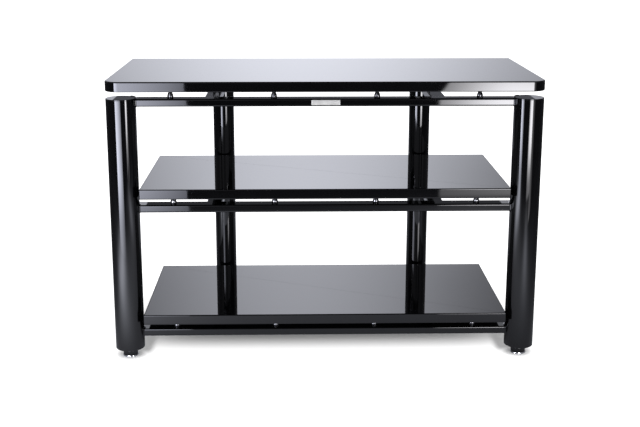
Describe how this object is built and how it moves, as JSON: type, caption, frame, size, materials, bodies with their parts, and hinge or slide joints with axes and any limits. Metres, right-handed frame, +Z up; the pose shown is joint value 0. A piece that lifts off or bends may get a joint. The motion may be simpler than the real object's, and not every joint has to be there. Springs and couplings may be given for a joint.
{
  "type": "audio equipment rack",
  "caption": "Low audio rack: gloss black boards resting on steel cones over a frame of round posts and flat tube rails, on screw-levelling feet.",
  "frame": {"origin": "on the floor, at the centre of the rack's footprint", "axes": "+X to the right as seen from the front, +Y to the back (the front faces -Y), +Z up"},
  "size_m": [1.1, 0.48, 0.73],
  "materials": {
    "board_lacquer": "high-gloss black lacquer on fibreboard",
    "frame_lacquer": "high-gloss black lacquer on steel tube",
    "cone_metal": "polished black nickel",
    "foot_chrome": "bright chrome",
    "zinc_steel": "zinc plated, turned"
  },
  "bodies": {
    "frame": {"front_left_post": "frame_lacquer", "front_right_post": "frame_lacquer", "rear_left_post": "frame_lacquer", "rear_right_post": "frame_lacquer", "front_left_post_cap": "frame_lacquer", "front_right_post_cap": "frame_lacquer", "rear_left_post_cap": "frame_lacquer", "rear_right_post_cap": "frame_lacquer", "front_left_post_plug": "zinc_steel", "front_right_post_plug": "zinc_steel", "rear_left_post_plug": "zinc_steel", "rear_right_post_plug": "zinc_steel", "top_front_rail": "frame_lacquer", "top_arm_left": "frame_lacquer", "top_arm_right": "frame_lacquer", "middle_front_rail": "frame_lacquer", "middle_arm_left": "frame_lacquer", "middle_arm_right": "frame_lacquer", "bottom_front_rail": "frame_lacquer", "bottom_arm_left": "frame_lacquer", "bottom_arm_right": "frame_lacquer", "top_front_cone_1": "cone_metal", "top_front_cone_2": "cone_metal", "top_front_cone_3": "cone_metal", "top_front_cone_4": "cone_metal", "top_rear_cone_left": "cone_metal", "top_rear_cone_right": "cone_metal", "middle_front_cone_1": "cone_metal", "middle_front_cone_2": "cone_metal", "middle_front_cone_3": "cone_metal", "middle_front_cone_4": "cone_metal", "middle_rear_cone_left": "cone_metal", "middle_rear_cone_right": "cone_metal", "bottom_front_cone_1": "cone_metal", "bottom_front_cone_2": "cone_metal", "bottom_front_cone_3": "cone_metal", "bottom_front_cone_4": "cone_metal", "bottom_rear_cone_left": "cone_metal", "bottom_rear_cone_right": "cone_metal"},
    "top_board": {"top_board": "board_lacquer"},
    "middle_shelf": {"middle_shelf": "board_lacquer"},
    "bottom_shelf": {"bottom_shelf": "board_lacquer"},
    "front_left_pad": {"front_left_foot_pad": "foot_chrome"},
    "front_left_stud": {"front_left_foot_stud": "zinc_steel"},
    "front_right_pad": {"front_right_foot_pad": "foot_chrome"},
    "front_right_stud": {"front_right_foot_stud": "zinc_steel"},
    "rear_left_pad": {"rear_left_foot_pad": "foot_chrome"},
    "rear_left_stud": {"rear_left_foot_stud": "zinc_steel"},
    "rear_right_pad": {"rear_right_foot_pad": "foot_chrome"},
    "rear_right_stud": {"rear_right_foot_stud": "zinc_steel"}
  },
  "joints": [
    {"name": "top_board_lift", "type": "slide", "parent": "frame", "child": "top_board", "axis": [0, 0, 1], "range_m": [0, 0.15]},
    {"name": "middle_shelf_draw", "type": "slide", "parent": "frame", "child": "middle_shelf", "axis": [0, -1, 0], "range_m": [0, 0.42]},
    {"name": "bottom_shelf_draw", "type": "slide", "parent": "frame", "child": "bottom_shelf", "axis": [0, -1, 0], "range_m": [0, 0.42]},
    {"name": "front_left_foot_travel", "type": "slide", "parent": "frame", "child": "front_left_pad", "axis": [0, 0, -1], "range_m": [0, 0.015]},
    {"name": "front_left_foot_screw", "type": "hinge", "parent": "front_left_pad", "child": "front_left_stud", "pos_m": [-0.5125, -0.2025, 0.0205], "axis": [0, 0, -1], "range_deg": [0, 3600]},
    {"name": "front_right_foot_travel", "type": "slide", "parent": "frame", "child": "front_right_pad", "axis": [0, 0, -1], "range_m": [0, 0.015]},
    {"name": "front_right_foot_screw", "type": "hinge", "parent": "front_right_pad", "child": "front_right_stud", "pos_m": [0.5125, -0.2025, 0.0205], "axis": [0, 0, -1], "range_deg": [0, 3600]},
    {"name": "rear_left_foot_travel", "type": "slide", "parent": "frame", "child": "rear_left_pad", "axis": [0, 0, -1], "range_m": [0, 0.015]},
    {"name": "rear_left_foot_screw", "type": "hinge", "parent": "rear_left_pad", "child": "rear_left_stud", "pos_m": [-0.286, 0.21, 0.0205], "axis": [0, 0, -1], "range_deg": [0, 3600]},
    {"name": "rear_right_foot_travel", "type": "slide", "parent": "frame", "child": "rear_right_pad", "axis": [0, 0, -1], "range_m": [0, 0.015]},
    {"name": "rear_right_foot_screw", "type": "hinge", "parent": "rear_right_pad", "child": "rear_right_stud", "pos_m": [0.286, 0.21, 0.0205], "axis": [0, 0, -1], "range_deg": [0, 3600]}
  ],
  "couplings": [
    {"joint": "front_left_foot_screw", "follows": "front_left_foot_travel", "rad_per_m": 4188.8},
    {"joint": "front_right_foot_screw", "follows": "front_right_foot_travel", "rad_per_m": 4188.8},
    {"joint": "rear_left_foot_screw", "follows": "rear_left_foot_travel", "rad_per_m": 4188.8},
    {"joint": "rear_right_foot_screw", "follows": "rear_right_foot_travel", "rad_per_m": 4188.8}
  ]
}
